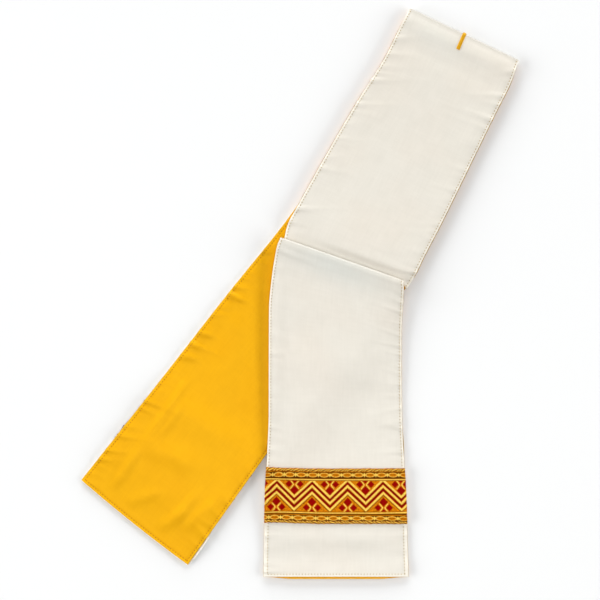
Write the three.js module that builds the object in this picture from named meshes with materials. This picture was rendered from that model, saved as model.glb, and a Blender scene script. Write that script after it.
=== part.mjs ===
// A maniple laid flat: a long lined band folded once at its middle.
// Units are millimetres, +Z is up and the cloth rests on z = 0.
// The half on top shows its cream face. It turns to one side at a shallow
// tuck and ends in a hem with a galloon. The half below shows its lining.
//
// Edge "a" is the left long edge and edge "b" the right one, seen from above.
import * as THREE from 'three';

// ---- cloth ----
const WALL = 1.0; // one cloth wall
const SEAM_GAP = 0.3; // between face and lining, and under what lies on the face
const HALF_BAND = WALL + SEAM_GAP / 2;
const FOLD_RADIUS = 1.4; // middle of the band in a folded edge
const LAYER_PITCH = 2 * FOLD_RADIUS;
const FOLD_REACH = FOLD_RADIUS + HALF_BAND; // outside radius of a folded edge

// ---- how the top half drapes off the lower half ----
const DRAPE_SHELF = 2.0; // stays level this far past the edge it lies on
const DRAPE_RAMP = 44.0; // then reaches the floor over this distance

// ---- the tuck ----
const TUCK_RISE = 1.0; // its outer fold springs up this much

// ---- galloon ----
const GALLOON_WIDTH = 46.5;
const GALLOON_TO_HEM = 44.5;
const GALLOON_OVERHANG = 0.01; // past each long edge, as a share of the width
const HIDDEN_OVERHANG = 0.003; // the same for the one lying face down
const GALLOON_CORD = 2.5; // width of the cord along each border
const GALLOON_FLAT = 0.9; // thickness between the cords
const GALLOON_CORD_HEIGHT = 1.35;
const GALLOON_EDGE = 0.55;
const GALLOON_LIFT = SEAM_GAP + GALLOON_CORD_HEIGHT; // cloth lying over a galloon
const LIFT_EASE = 38.0; // run over which the cloth comes down beside it
const GALLOON_SPANS = 4; // across the ground between the cords

// ---- centre mark ----
const MARK_LENGTH = 12.6;
const MARK_WIDTH = 3.0;
const MARK_TURNS = [0.45, 0.6, 0.75, 0.88]; // rows round the fold, as shares of it
const MARK_CROWN = [0.4, 0.8, 0.9, 0.8, 0.4]; // thickness across the bar
const MARK_END = 0.6; // share of that thickness at its two ends

// ---- mesh fineness ----
const SPANS_ACROSS = 10;
const SPANS_NOSE = 8;
const SPAN_LENGTH = 9.0; // longest span along the band

// The lower half, from its end to the middle fold, lining up.
const BACK_ROWS = [
  { ax: -184.1, ay: -156.8, bx: -94.5, by: -228.2, lift: 0 },
  { ax: -125.2, ay: -82.5, bx: -38.9, by: -150.0, lift: 0 },
  { ax: -63.2, ay: -3.0, bx: 20.6, by: -68.0, lift: 0 },
  { ax: -7.0, ay: 67.7, bx: 75.3, by: 4.5, lift: 0 },
  { ax: 36.8, ay: 132.9, bx: 125.0, by: 79.7, lift: 0 },
  { ax: 66.3, ay: 184.3, bx: 158.3, by: 141.0, lift: 0 },
  { ax: 92.4, ay: 240.2, bx: 184.0, by: 196.3, lift: 0 },
];

// The top half from the middle fold to the inner fold of the tuck, face up.
// Lift is the height of the soft rolls above the layer it lies on.
const UPPER_ROWS = [
  { ax: 92.4, ay: 240.2, bx: 184.0, by: 196.3, lift: 0 },
  { ax: 87.6, ay: 231.0, bx: 180.4, by: 187.2, lift: 1.2 },
  { ax: 82.3, ay: 220.6, bx: 176.5, by: 176.4, lift: 0.4 },
  { ax: 71.1, ay: 198.0, bx: 165.1, by: 153.8, lift: 0.9 },
  { ax: 47.8, ay: 160.9, bx: 145.5, by: 113.8, lift: 0.7 },
  { ax: 16.6, ay: 107.1, bx: 119.1, by: 60.1, lift: 1.2 },
  { ax: -1.6, ay: 74.3, bx: 103.4, by: 29.8, lift: 1.4 },
  { ax: -10.8, ay: 56.7, bx: 95.6, by: 13.9, lift: 0.5 },
  { ax: -14.9, ay: 39.9, bx: 88.9, by: 2.1, lift: 0 },
];

// The top half from the tuck's outer fold to the hem, face up.
const LOWER_ROWS = [
  { ax: -16.2, ay: 47.5, bx: 86.6, by: 11.3, lift: 6.6 },
  { ax: -19.0, ay: 40.5, bx: 86.6, by: 4.6, lift: 5.6 },
  { ax: -21.2, ay: 30.0, bx: 86.2, by: -4.2, lift: 3.8 },
  { ax: -23.8, ay: 13.0, bx: 85.6, by: -16.0, lift: 2.4 },
  { ax: -26.1, ay: -13.8, bx: 85.0, by: -34.0, lift: 1.4 },
  { ax: -26.3, ay: -55.0, bx: 85.1, by: -66.0, lift: 0.6 },
  { ax: -26.4, ay: -100.0, bx: 85.6, by: -104.0, lift: 0 },
  { ax: -28.0, ay: -140.0, bx: 87.2, by: -140.0, lift: 0 },
  { ax: -29.6, ay: -172.0, bx: 88.9, by: -172.0, lift: 0 },
  { ax: -30.8, ay: -238.1, bx: 91.0, by: -238.1, lift: 0 },
];

const COLUMNS = ['ax', 'ay', 'bx', 'by', 'lift'];

const smooth = (x) => {
  const t = Math.min(1, Math.max(0, x));
  return t * t * (3 - 2 * t);
};
const mix = (p, q, t) => p + (q - p) * t;

// Unit direction in plan at right angles to a row, on the side away from the
// middle of its own stretch when "outward" is +1.
function rowNormal(row, outward) {
  const dx = row.bx - row.ax;
  const dy = row.by - row.ay;
  const length = Math.hypot(dx, dy);
  return { x: (-dy / length) * outward, y: (dx / length) * outward };
}

// A row moved in from a folded edge to the line its fold turns about.
function foldLine(row, outward) {
  const n = rowNormal(row, outward);
  return {
    ...row,
    ax: row.ax - n.x * FOLD_REACH,
    ay: row.ay - n.y * FOLD_REACH,
    bx: row.bx - n.x * FOLD_REACH,
    by: row.by - n.y * FOLD_REACH,
  };
}

// Rows joined by shape-keeping cubics over the distance between their middles.
class Stretch {
  constructor(rows) {
    this.rows = rows;
    this.run = [0];
    for (let i = 1; i < rows.length; i += 1) {
      const dx = (rows[i].ax + rows[i].bx - rows[i - 1].ax - rows[i - 1].bx) / 2;
      const dy = (rows[i].ay + rows[i].by - rows[i - 1].ay - rows[i - 1].by) / 2;
      this.run.push(this.run[i - 1] + Math.hypot(dx, dy));
    }
    this.length = this.run[rows.length - 1];
    this.slopes = Object.fromEntries(COLUMNS.map((name) => [name, this.slopesOf(name)]));
  }

  slopesOf(name) {
    const n = this.rows.length;
    const secant = [];
    for (let i = 0; i < n - 1; i += 1) {
      const rise = this.rows[i + 1][name] - this.rows[i][name];
      secant.push(rise / (this.run[i + 1] - this.run[i]));
    }
    const slope = [name === 'lift' ? 0 : secant[0]];
    for (let i = 1; i < n - 1; i += 1) {
      const flat = secant[i - 1] * secant[i] <= 0;
      slope.push(flat ? 0 : 2 / (1 / secant[i - 1] + 1 / secant[i]));
    }
    slope.push(name === 'lift' ? 0 : secant[n - 2]);
    return slope;
  }

  value(name, run) {
    let i = 0;
    while (i < this.rows.length - 2 && run > this.run[i + 1]) i += 1;
    const h = this.run[i + 1] - this.run[i];
    const t = (run - this.run[i]) / h;
    const p = this.rows[i][name];
    const q = this.rows[i + 1][name];
    const s = smooth(t);
    const into = t * (1 - t) * (1 - t) * h * this.slopes[name][i];
    const out = t * t * (t - 1) * h * this.slopes[name][i + 1];
    return mix(p, q, s) + into + out;
  }

  // Place across the row at v = 0 on edge a and v = 1 on edge b.
  plan(run, v) {
    return {
      x: mix(this.value('ax', run), this.value('bx', run), v),
      y: mix(this.value('ay', run), this.value('by', run), v),
      lift: this.value('lift', run),
    };
  }

  runs() {
    const list = [];
    for (let i = 0; i < this.rows.length - 1; i += 1) {
      const gap = this.run[i + 1] - this.run[i];
      const spans = Math.ceil(gap / SPAN_LENGTH);
      for (let k = 0; k < spans; k += 1) list.push(this.run[i] + (gap * k) / spans);
    }
    list.push(this.length);
    return list;
  }
}

const backEnd = BACK_ROWS.length - 1;
const upperEnd = UPPER_ROWS.length - 1;
const back = new Stretch([
  ...BACK_ROWS.slice(0, backEnd),
  foldLine(BACK_ROWS[backEnd], 1),
]);
const upper = new Stretch([
  foldLine(UPPER_ROWS[0], 1),
  ...UPPER_ROWS.slice(1, upperEnd),
  foldLine(UPPER_ROWS[upperEnd], -1),
]);
const lower = new Stretch([
  foldLine(LOWER_ROWS[0], 1),
  ...LOWER_ROWS.slice(1),
]);

// Outline of the lower half, which the top half lies on.
const footprint = [
  ...back.runs().map((run) => back.plan(run, 0)),
  ...back.runs().map((run) => back.plan(run, 1)).reverse(),
];

function distanceOutside(x, y) {
  let inside = false;
  let nearest = Infinity;
  for (let i = 0; i < footprint.length; i += 1) {
    const p = footprint[i];
    const q = footprint[(i + 1) % footprint.length];
    const dx = q.x - p.x;
    const dy = q.y - p.y;
    const t = Math.min(1, Math.max(0, ((x - p.x) * dx + (y - p.y) * dy) / (dx * dx + dy * dy)));
    nearest = Math.min(nearest, Math.hypot(x - p.x - dx * t, y - p.y - dy * t));
    if (p.y > y !== q.y > y && x < p.x + (dx * (y - p.y)) / dy) inside = !inside;
  }
  return inside ? 0 : nearest;
}

// Middle height of a single layer: on the floor, or on the lower half.
function draped(x, y) {
  const off = (distanceOutside(x, y) - DRAPE_SHELF) / DRAPE_RAMP;
  return HALF_BAND + LAYER_PITCH * (1 - smooth(off));
}

// The lower half rises where its own galloon lies beneath it.
const BACK_GALLOON_START = GALLOON_TO_HEM;
const BACK_GALLOON_END = GALLOON_TO_HEM + GALLOON_WIDTH;
function backHeight(run) {
  const rise = smooth((run - BACK_GALLOON_START + LIFT_EASE) / LIFT_EASE);
  const fall = smooth((run - BACK_GALLOON_END) / LIFT_EASE);
  return HALF_BAND + GALLOON_LIFT * (rise - fall);
}

// ---- the middle surface of the band, row by row ----
const backPoint = (run, v) => {
  const p = back.plan(run, v);
  return new THREE.Vector3(p.x, p.y, backHeight(run));
};
const upperPoint = (run, v) => {
  const p = upper.plan(run, v);
  return new THREE.Vector3(p.x, p.y, draped(p.x, p.y) + p.lift);
};
const lowerPoint = (run, v) => {
  const p = lower.plan(run, v);
  return new THREE.Vector3(p.x, p.y, draped(p.x, p.y) + p.lift);
};

// A folded edge: half a circle about the fold line, from the layer under it
// (turn = 0) to the layer over it (turn = 1).
function nosePoint(line, outward, under, turn, v) {
  const n = rowNormal(line, outward);
  const x = mix(line.ax, line.bx, v);
  const y = mix(line.ay, line.by, v);
  const angle = Math.PI * turn;
  const reach = FOLD_RADIUS * Math.sin(angle);
  const rise = FOLD_RADIUS * (1 - Math.cos(angle));
  return new THREE.Vector3(x + n.x * reach, y + n.y * reach, under(x, y) + rise);
}

const middleFold = upper.rows[0];
const innerFold = upper.rows[upperEnd];
const outerFold = lower.rows[0];
const onFloor = () => HALF_BAND;
const overUpper = (x, y) => draped(x, y) + LAYER_PITCH;
const underOuterFold = (x, y) => overUpper(x, y) + TUCK_RISE;

// The band's rows in order: each is a function of the place across it.
function bandRows() {
  const rows = back.runs().map((run) => (v) => backPoint(run, v));
  const turns = [];
  for (let k = 1; k < SPANS_NOSE; k += 1) turns.push(k / SPANS_NOSE);
  turns.forEach((turn) => rows.push((v) => nosePoint(middleFold, 1, onFloor, turn, v)));
  upper.runs().forEach((run) => rows.push((v) => upperPoint(run, v)));
  turns.forEach((turn) => rows.push((v) => nosePoint(innerFold, -1, draped, turn, v)));
  [0, 0.5, 1].forEach((t) => rows.push((v) => {
    const x = mix(mix(innerFold.ax, innerFold.bx, v), mix(outerFold.ax, outerFold.bx, v), t);
    const y = mix(mix(innerFold.ay, innerFold.by, v), mix(outerFold.ay, outerFold.by, v), t);
    return new THREE.Vector3(x, y, overUpper(x, y) + TUCK_RISE * t);
  }));
  turns.forEach((turn) => rows.push((v) => nosePoint(outerFold, 1, underOuterFold, turn, v)));
  lower.runs().forEach((run) => rows.push((v) => lowerPoint(run, v)));
  return rows;
}

// Points and face-side normals of a grid of rows.
function gridOf(rows, places) {
  const points = rows.map((row) => places.map((v) => row(v)));
  const normals = points.map((line, i) => line.map((_, j) => {
    const along = new THREE.Vector3().subVectors(
      points[Math.min(i + 1, points.length - 1)][j],
      points[Math.max(i - 1, 0)][j],
    );
    const across = new THREE.Vector3().subVectors(
      line[Math.min(j + 1, line.length - 1)],
      line[Math.max(j - 1, 0)],
    );
    return along.cross(across).normalize();
  }));
  return { points, normals };
}

// A closed wall between two offsets from a grid. An offset is a number, or a
// function of the row and column.
function wall(grid, inner, outer) {
  const rows = grid.points.length;
  const columns = grid.points[0].length;
  const positions = [];
  const offsetOf = (offset, i, j) => (typeof offset === 'number' ? offset : offset(i, j));
  [outer, inner].forEach((offset) => {
    for (let i = 0; i < rows; i += 1) {
      for (let j = 0; j < columns; j += 1) {
        const p = grid.points[i][j].clone();
        p.addScaledVector(grid.normals[i][j], offsetOf(offset, i, j));
        positions.push(p.x, p.y, p.z);
      }
    }
  });
  const index = [];
  const at = (side, i, j) => side * rows * columns + i * columns + j;
  const quad = (p, q, r, s) => index.push(p, q, r, p, r, s);
  for (let i = 0; i < rows - 1; i += 1) {
    for (let j = 0; j < columns - 1; j += 1) {
      quad(at(0, i, j), at(0, i + 1, j), at(0, i + 1, j + 1), at(0, i, j + 1));
      quad(at(1, i, j), at(1, i, j + 1), at(1, i + 1, j + 1), at(1, i + 1, j));
    }
    const last = columns - 1;
    quad(at(1, i, 0), at(1, i + 1, 0), at(0, i + 1, 0), at(0, i, 0));
    quad(at(0, i, last), at(0, i + 1, last), at(1, i + 1, last), at(1, i, last));
  }
  for (let j = 0; j < columns - 1; j += 1) {
    const last = rows - 1;
    quad(at(0, 0, j), at(0, 0, j + 1), at(1, 0, j + 1), at(1, 0, j));
    quad(at(1, last, j), at(1, last, j + 1), at(0, last, j + 1), at(0, last, j));
  }
  const geometry = new THREE.BufferGeometry();
  geometry.setAttribute('position', new THREE.Float32BufferAttribute(positions, 3));
  geometry.setIndex(index);
  return geometry;
}

const evenly = (from, to, spans) => {
  const list = [];
  for (let k = 0; k <= spans; k += 1) list.push(mix(from, to, k / spans));
  return list;
};

// Distances across a galloon with the thickness there: a rounded cord along
// each border and a flat ground between.
const CORD_PROFILE = [
  { at: 0, thick: GALLOON_EDGE },
  { at: GALLOON_CORD / 4, thick: mix(GALLOON_EDGE, GALLOON_CORD_HEIGHT, 0.8) },
  { at: GALLOON_CORD / 2, thick: GALLOON_CORD_HEIGHT },
  { at: (GALLOON_CORD * 3) / 4, thick: mix(GALLOON_FLAT, GALLOON_CORD_HEIGHT, 0.7) },
  { at: GALLOON_CORD, thick: GALLOON_FLAT },
];
const GALLOON_PROFILE = [
  ...CORD_PROFILE,
  ...evenly(GALLOON_CORD, GALLOON_WIDTH - GALLOON_CORD, GALLOON_SPANS).slice(1, -1)
    .map((at) => ({ at, thick: GALLOON_FLAT })),
  ...CORD_PROFILE.map((p) => ({ at: GALLOON_WIDTH - p.at, thick: p.thick })).reverse(),
];

const FRONT_GALLOON_START = lower.length - GALLOON_TO_HEM - GALLOON_WIDTH;

// A galloon on the face, its first border "start" along the stretch.
function galloon(point, start, overhang) {
  const profile = GALLOON_PROFILE;
  const places = evenly(-overhang, 1 + overhang, SPANS_ACROSS);
  const rows = profile.map((p) => (v) => point(start + p.at, v));
  const base = HALF_BAND + SEAM_GAP;
  return wall(gridOf(rows, places), base, (i) => base + profile[i].thick);
}

// The bar over the middle fold, from the side of the fold onto the face.
function centreMark() {
  const halfShare = MARK_WIDTH / 2 / Math.hypot(
    middleFold.bx - middleFold.ax,
    middleFold.by - middleFold.ay,
  );
  const rows = MARK_TURNS.map(
    (turn) => (v) => nosePoint(middleFold, 1, onFloor, turn, v),
  );
  evenly(0, MARK_LENGTH, 5).forEach((run) => rows.push((v) => upperPoint(run, v)));
  const places = evenly(0.5 - halfShare, 0.5 + halfShare, MARK_CROWN.length - 1);
  const base = HALF_BAND + SEAM_GAP;
  const last = rows.length - 1;
  const ends = (i) => (i === 0 || i === last ? MARK_END : 1);
  return wall(gridOf(rows, places), base, (i, j) => base + MARK_CROWN[j] * ends(i));
}

const band = gridOf(bandRows(), evenly(0, 1, SPANS_ACROSS));

const CREAM = { colour: 0xece8dd, rough: 0.55, metal: 0 };
const GOLDEN = { colour: 0xfcbd22, rough: 0.5, metal: 0 };
const BRAID = { colour: 0xc98a24, rough: 0.45, metal: 0.3 };
const THREAD = { colour: 0xedb71f, rough: 0.4, metal: 0 };

const PIECES = [
  { name: 'face', ...CREAM, geometry: wall(band, SEAM_GAP / 2, HALF_BAND) },
  { name: 'lining', ...GOLDEN, geometry: wall(band, -HALF_BAND, -SEAM_GAP / 2) },
  {
    name: 'galloon_front',
    ...BRAID,
    geometry: galloon(lowerPoint, FRONT_GALLOON_START, GALLOON_OVERHANG),
  },
  {
    name: 'galloon_back',
    ...BRAID,
    geometry: galloon(backPoint, BACK_GALLOON_START, HIDDEN_OVERHANG),
  },
  { name: 'centre_mark', ...THREAD, geometry: centreMark() },
];

// Set the whole on z = 0 with the middle of its plan at the origin.
const box = new THREE.Box3();
PIECES.forEach((piece) => {
  piece.geometry.computeBoundingBox();
  box.union(piece.geometry.boundingBox);
});
const middle = box.getCenter(new THREE.Vector3());

const maniple = new THREE.Group();
maniple.name = 'maniple';
PIECES.forEach((piece) => {
  piece.geometry.translate(-middle.x, -middle.y, -box.min.z);
  piece.geometry.computeVertexNormals();
  const material = new THREE.MeshStandardMaterial({
    color: piece.colour,
    roughness: piece.rough,
    metalness: piece.metal,
  });
  const mesh = new THREE.Mesh(piece.geometry, material);
  mesh.name = piece.name;
  maniple.add(mesh);
});

export default maniple;
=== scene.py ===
"""A maniple laid flat: cream satin face, golden lining, woven galloons.

The band is one long strip folded once at its middle. Its top half shows the
face, turns to one side at a shallow tuck and ends in a hem with a galloon. Its
lower half shows the lining. Sizes are millimetres until a mesh is made, and
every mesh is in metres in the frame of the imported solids. Edge a is the left
long edge and edge b the right one, seen from above.
"""

import logging
import math
from dataclasses import dataclass, field
from enum import Enum

import bpy
import numpy as np
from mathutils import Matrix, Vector


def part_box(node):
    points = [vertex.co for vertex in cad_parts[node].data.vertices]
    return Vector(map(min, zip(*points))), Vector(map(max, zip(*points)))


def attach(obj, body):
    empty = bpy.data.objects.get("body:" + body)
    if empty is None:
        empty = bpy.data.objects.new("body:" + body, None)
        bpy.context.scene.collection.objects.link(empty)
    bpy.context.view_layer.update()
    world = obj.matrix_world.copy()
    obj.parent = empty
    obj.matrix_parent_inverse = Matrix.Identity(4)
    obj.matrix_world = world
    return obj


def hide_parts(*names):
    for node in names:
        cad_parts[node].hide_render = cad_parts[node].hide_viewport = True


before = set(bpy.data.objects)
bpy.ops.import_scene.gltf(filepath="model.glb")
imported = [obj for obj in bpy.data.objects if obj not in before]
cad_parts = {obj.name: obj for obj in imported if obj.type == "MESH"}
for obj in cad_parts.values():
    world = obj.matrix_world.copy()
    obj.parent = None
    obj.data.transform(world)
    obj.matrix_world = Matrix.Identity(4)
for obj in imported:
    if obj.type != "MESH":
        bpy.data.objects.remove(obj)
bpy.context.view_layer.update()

LOG = logging.getLogger("maniple")
MM = 0.001

Array = np.ndarray
Colour = tuple[float, float, float]
Piece = bpy.types.Object
Socket = bpy.types.NodeSocket
Tree = bpy.types.NodeTree
Material = bpy.types.Material

# ---- cloth, as in the solids ----
WALL = 1.0
SEAM_GAP = 0.3
HALF_BAND = WALL + SEAM_GAP / 2
FOLD_RADIUS = 1.4
LAYER_PITCH = 2 * FOLD_RADIUS
FOLD_REACH = FOLD_RADIUS + HALF_BAND
DRAPE_SHELF = 2.0  # the top half stays level this far past the lower half
DRAPE_RAMP = 44.0  # then reaches the floor over this distance
TUCK_RISE = 1.0  # the tuck's outer fold springs up this much
END_BOW = 1.3  # the lower end bows out in its middle
END_BOW_EASE = 60.0
END_HEADING = math.radians(51.0)
COVER_EASE = 12.0  # the lower half's relief fades over this far under the top half

# ---- galloons ----
GALLOON_WIDTH = 46.5
GALLOON_TO_HEM = 44.5
GALLOON_LIFT = 1.65  # cloth lying over a galloon
LIFT_EASE = 38.0  # run over which the cloth comes down beside it
HIDDEN_OVERHANG = -0.002  # past each long edge, as a share of the width
HIDDEN_PEEK = 0.65  # how far the hidden galloon shows past edge a
HIDDEN_PEEK_AT = 58.0  # the middle of that stretch from the lower end
HIDDEN_PEEK_WIDTH = 9.0
HIDDEN_FADE = 6.0  # the move fades over this far in from the edge
HIDDEN_SPACING = 0.8  # grid spacing on the galloon that lies face down
FRAY = 0.4  # how far the galloons' borders wander

# ---- sewing ----
SEAM_ROUND = 0.4  # the edge rounds over this far
SEAM_EASE = 6.0  # the cloth thins towards its edge over this far
SEAM_THIN = 0.55  # share of its thickness left at the edge
END_FULL = 0.75  # how far that thinning is spared at the two ends
STITCH_IN = 2.4  # topstitching from the edge
STITCH_NEAR = 1.75  # the same where the top half's seam is narrow
STITCH_HEM = 2.8  # the same below the galloon in view
NARROW_EASE = 6.0  # run over which it narrows past the middle fold
NARROW_END = 910.0  # where it starts to widen
WIDE_EASE = 30.0
STITCH_PITCH = 2.6
STITCH_LENGTH = 1.4
STITCH_RADIUS = 0.27
GROOVE_WIDTH = 0.45
STITCH_LIFT = 0.12  # middle of the thread over the cloth
FACE_GROOVE = 0.07  # how deep the stitches draw the cloth in
LINING_GROOVE = 0.18
NOSE_POWER = 5.5  # 2 is a round folded edge, more is a pressed one
NOSE_THIN = 0.6  # share of the cloth's thickness left round a pressed fold
MIDDLE_WIDTH = 101.7  # the band's true width at its middle fold
NOMINAL_WIDTH = 110.0  # stands for the band's width in places across it
SEAM_PLACES = (0.0, 0.1, 0.32, 0.7, 1.3, 1.9, 2.4, 2.9)  # grid lines by a seam
OPEN_END = 320.0  # the lower half is finely divided up to here
TOP_FOLD_RUN = 497.0  # the middle fold from the lower end
FOLD_B_RUN = 728.0  # the fold over the tuck
TUCK_RUNS = (708.0, 738.0)  # the tuck's corners, where the lining shows
OPEN_EDGE_SHADE = 0.4  # how far the rim takes the painted edge shade on the side in view
TUCK_EDGE_SHADE = 0.35  # the same on the lining's corners at the tuck
HEM_EDGE_SHADE = 0.06  # the same along the hem of the lining
PEEK_FADE = 3.2  # an edge that rolls out moves over this far

# Rows of the band. Columns: x and y of edge a, x and y of edge b, and the lift
# over what lies beneath.
BACK_ROWS = (
    (-184.1, -156.8, -94.5, -228.2, 0.0),
    (-125.2, -82.5, -38.9, -150.0, 0.0),
    (-63.2, -3.0, 20.6, -68.0, 0.0),
    (-7.0, 67.7, 75.3, 4.5, 0.0),
    (36.8, 132.9, 125.0, 79.7, 0.0),
    (66.3, 184.3, 158.3, 141.0, 0.0),
    (92.4, 240.2, 184.0, 196.3, 0.0),
)
UPPER_ROWS = (
    (92.4, 240.2, 184.0, 196.3, 0.0),
    (87.6, 231.0, 180.4, 187.2, 1.2),
    (82.3, 220.6, 176.5, 176.4, 0.4),
    (71.1, 198.0, 165.1, 153.8, 0.9),
    (47.8, 160.9, 145.5, 113.8, 0.7),
    (16.6, 107.1, 119.1, 60.1, 1.2),
    (-1.6, 74.3, 103.4, 29.8, 1.4),
    (-10.8, 56.7, 95.6, 13.9, 0.5),
    (-14.9, 39.9, 88.9, 2.1, 0.0),
)
LOWER_ROWS = (
    (-16.2, 47.5, 86.6, 11.3, 6.6),
    (-19.0, 40.5, 86.6, 4.6, 5.6),
    (-21.2, 30.0, 86.2, -4.2, 3.8),
    (-23.8, 13.0, 85.6, -16.0, 2.4),
    (-26.1, -13.8, 85.0, -34.0, 1.4),
    (-26.3, -55.0, 85.1, -66.0, 0.6),
    (-26.4, -100.0, 85.6, -104.0, 0.0),
    (-28.0, -140.0, 87.2, -140.0, 0.0),
    (-29.6, -172.0, 88.9, -172.0, 0.0),
    (-30.8, -238.1, 91.0, -238.1, 0.0),
)


class Edge(Enum):
    """The long edges of the band, its hem in view and its lower end."""

    A = "a"
    B = "b"
    HEM = "hem"
    END = "end"


class Side(Enum):
    """The two sides of the band, with the sign of the way out of it."""

    FACE = 1.0
    LINING = -1.0


def smooth(x: Array) -> Array:
    """Ease from 0 to 1: 3 x squared less 2 x cubed, held flat outside."""
    t = np.clip(x, 0.0, 1.0)
    return t * t * (3.0 - 2.0 * t)


def stitch_inset(run: Array) -> Array:
    """Distance of the topstitching from the side at distances along the band.

    It eases to its narrow value at the middle fold and to its widest one
    under the galloon in view.
    """
    narrow = smooth((run - TOP_FOLD_RUN) / NARROW_EASE)
    wide = smooth((run - NARROW_END) / WIDE_EASE)
    return STITCH_IN + (STITCH_NEAR - STITCH_IN) * narrow + (STITCH_HEM - STITCH_NEAR) * wide


def bell(x: Array, width: float | Array) -> Array:
    """Bell curve of height 1: e to the power of minus (x / width) squared."""
    return np.exp(-((x / width) ** 2))


def unit(ways: Array) -> Array:
    """Directions of length 1 along the last axis."""
    return ways / np.linalg.norm(ways, axis=-1, keepdims=True)


def distances(path: Array) -> Array:
    """Distance from the first point of a path to each of its points."""
    steps = np.linalg.norm(np.diff(path, axis=0), axis=1)
    return np.concatenate([[0.0], np.cumsum(steps)])


@dataclass
class Stretch:
    """A stretch of the band: rows joined by shape-keeping cubics.

    Between two rows each column is the eased mix of its two values plus the
    two end slopes times their cubic weights, over the distance between the
    middles of the rows.
    """

    rows: Array
    run: Array = field(init=False)
    slopes: Array = field(init=False)

    def __post_init__(self) -> None:
        """Work out the distances between rows and the slopes at them."""
        middle = (self.rows[:, 0:2] + self.rows[:, 2:4]) / 2
        steps = np.linalg.norm(np.diff(middle, axis=0), axis=1)
        self.run = np.concatenate([[0.0], np.cumsum(steps)])
        secant = np.diff(self.rows, axis=0) / steps[:, None]
        before, after = secant[:-1], secant[1:]
        same = before * after > 0
        with np.errstate(divide="ignore", invalid="ignore"):
            inner = np.where(same, 2.0 / (1.0 / before + 1.0 / after), 0.0)
        first, last = secant[0].copy(), secant[-1].copy()
        first[4] = last[4] = 0.0
        self.slopes = np.vstack([first, inner, last])

    @property
    def length(self) -> float:
        """Length of the stretch along its middle."""
        return float(self.run[-1])

    def columns(self, run: Array) -> Array:
        """Values of all five columns at distances along the stretch.

        Args:
            run: distances along the middle.

        Returns:
            Array of len(run) by 5.
        """
        i = np.clip(np.searchsorted(self.run, run, side="right") - 1, 0, len(self.run) - 2)
        h = (self.run[i + 1] - self.run[i])[:, None]
        t = (run[:, None] - self.run[i][:, None]) / h
        p, q = self.rows[i], self.rows[i + 1]
        leave = t * (1 - t) ** 2 * h * self.slopes[i]
        arrive = t**2 * (t - 1) * h * self.slopes[i + 1]
        return p + (q - p) * smooth(t) + leave + arrive

    def plan(self, run: Array, across: Array) -> tuple[Array, ...]:
        """Plan places and lift on a grid of distances by shares across.

        Args:
            run: distances along the middle.
            across: 0 on edge a and 1 on edge b.

        Returns:
            x, y and lift, each len(run) by len(across).
        """
        c = self.columns(run)
        v = across[None, :]
        x = c[:, 0:1] * (1 - v) + c[:, 2:3] * v
        y = c[:, 1:2] * (1 - v) + c[:, 3:4] * v
        return x, y, np.broadcast_to(c[:, 4:5], x.shape)


@dataclass(frozen=True)
class FoldLine:
    """The straight line that a folded edge turns about, and its way out."""

    ax: float
    ay: float
    bx: float
    by: float
    nx: float
    ny: float

    @classmethod
    def inside(cls, row: tuple[float, ...], outward: float) -> "FoldLine":
        """Fold line a fold's reach inside the row of a folded edge.

        Args:
            row: the edge's row.
            outward: 1 where the way out is left of the way from a to b.

        Returns:
            The fold line.
        """
        dx, dy = row[2] - row[0], row[3] - row[1]
        size = math.hypot(dx, dy)
        nx, ny = -dy / size * outward, dx / size * outward
        back = FOLD_REACH
        ax, ay = row[0] - nx * back, row[1] - ny * back
        bx, by = row[2] - nx * back, row[3] - ny * back
        return cls(ax, ay, bx, by, nx, ny)

    def row(self, lift: float) -> tuple[float, ...]:
        """The fold line as a row of a stretch."""
        return (self.ax, self.ay, self.bx, self.by, lift)

    def at(self, across: Array) -> tuple[Array, Array]:
        """Plan places on the line at shares across."""
        return self.ax + (self.bx - self.ax) * across, self.ay + (self.by - self.ay) * across


@dataclass(frozen=True)
class Crease:
    """A soft ridge or trough in plan: middle, heading, size and height.

    Its height is a bell curve across it and falls off by an ease at its ends.
    """

    x: float
    y: float
    heading: float
    length: float
    width: float
    height: float

    def lift(self, x: Array, y: Array) -> Array:
        """Height added at plan places."""
        a = math.radians(self.heading)
        along = (x - self.x) * math.cos(a) + (y - self.y) * math.sin(a)
        off = -(x - self.x) * math.sin(a) + (y - self.y) * math.cos(a)
        half = self.length / 2
        ends = smooth((half - np.abs(along)) / (half * 0.7))
        return self.height * bell(off, self.width) * ends
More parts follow.
